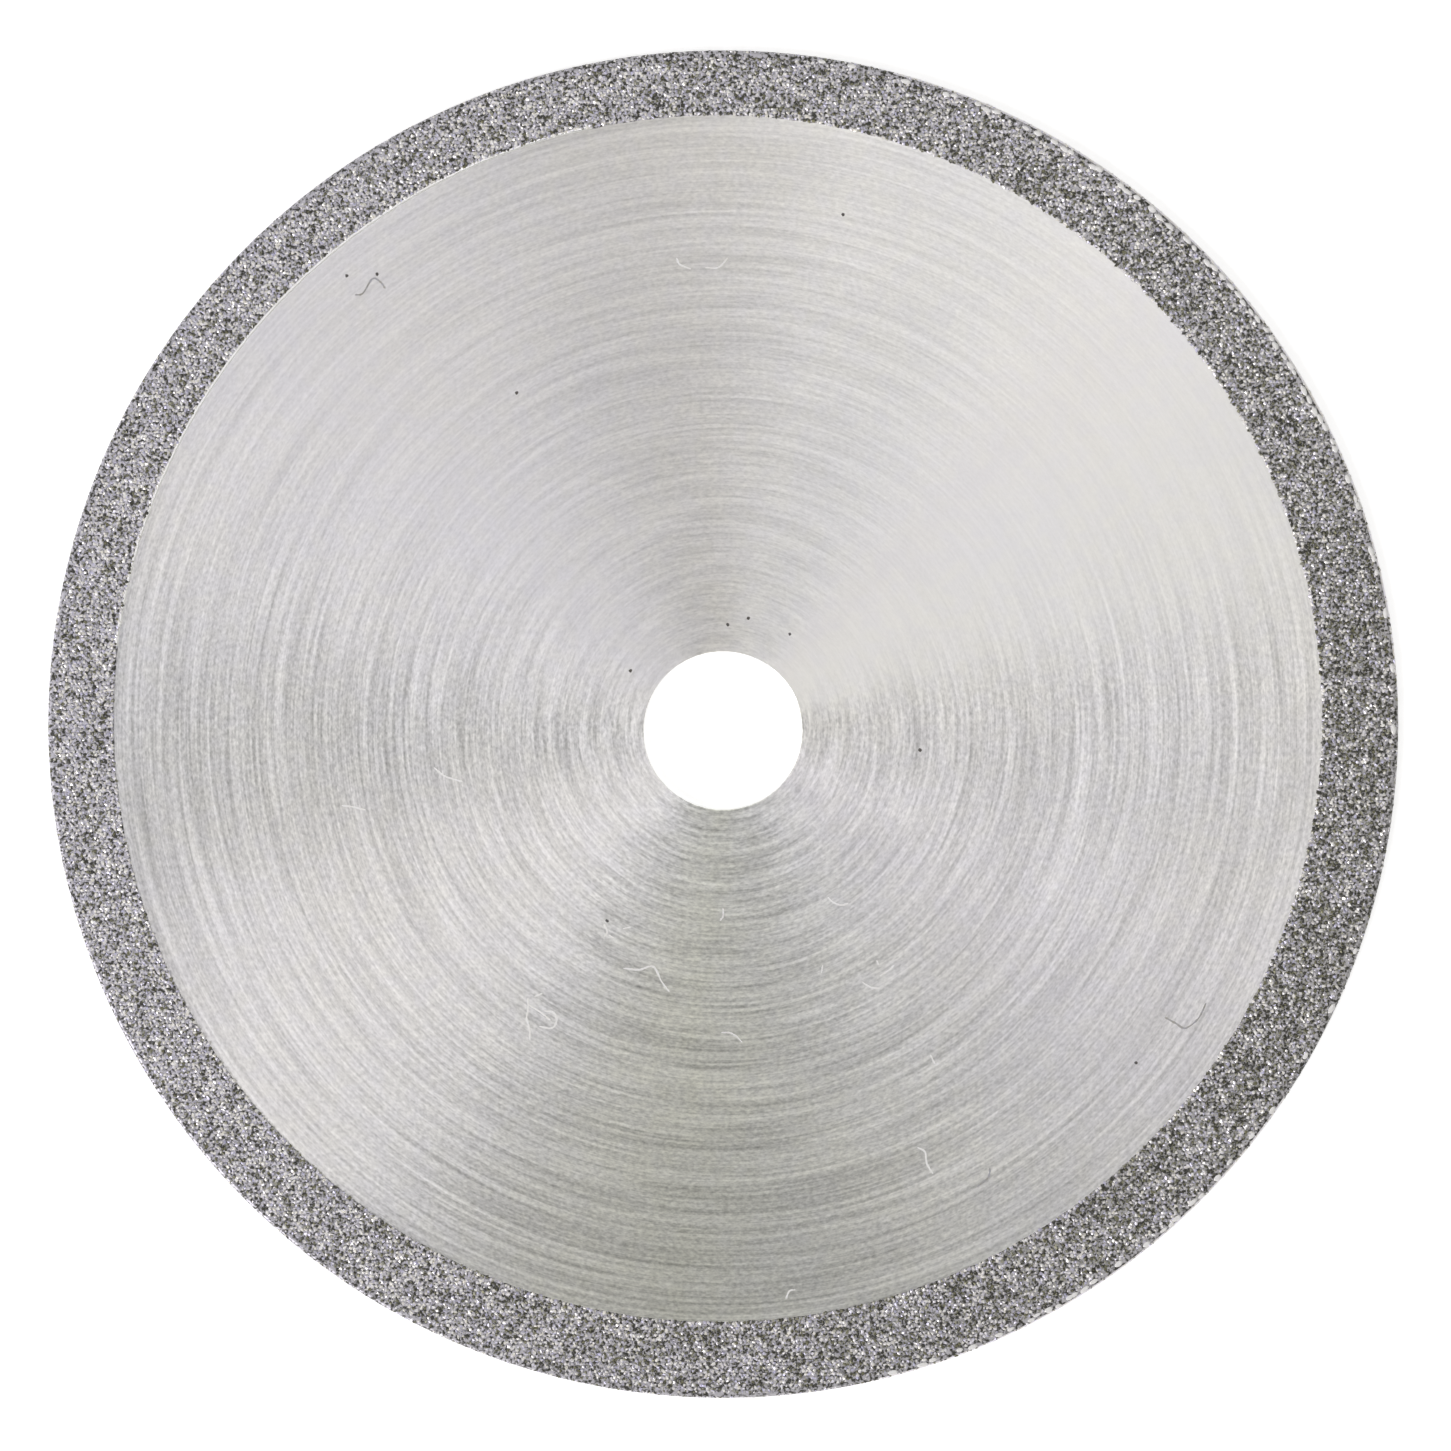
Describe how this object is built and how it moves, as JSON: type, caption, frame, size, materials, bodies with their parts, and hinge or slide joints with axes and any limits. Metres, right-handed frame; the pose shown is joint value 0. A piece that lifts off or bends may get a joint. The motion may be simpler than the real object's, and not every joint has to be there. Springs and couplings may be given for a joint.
{
  "type": "diamond cutting disc",
  "caption": "Thin steel cutting disc with a plain arbor bore and a continuous rim plated with diamond grit on both faces and the edge.",
  "frame": {"origin": "on the arbor axis, level with the lower face of the plated band, on which the disc lies", "axes": "+Z up along the arbor axis, +X to the right and +Y up in the picture"},
  "size_m": [0.085, 0.085, 0.0007],
  "materials": {
    "ground_steel": "ground in fine concentric lines, with a few scratches and specks",
    "diamond_plating": "one layer of grey diamond grit held in matt nickel plating"
  },
  "bodies": {
    "root": {"steel_blank": "ground_steel", "diamond_band": "diamond_plating"}
  },
  "joints": []
}
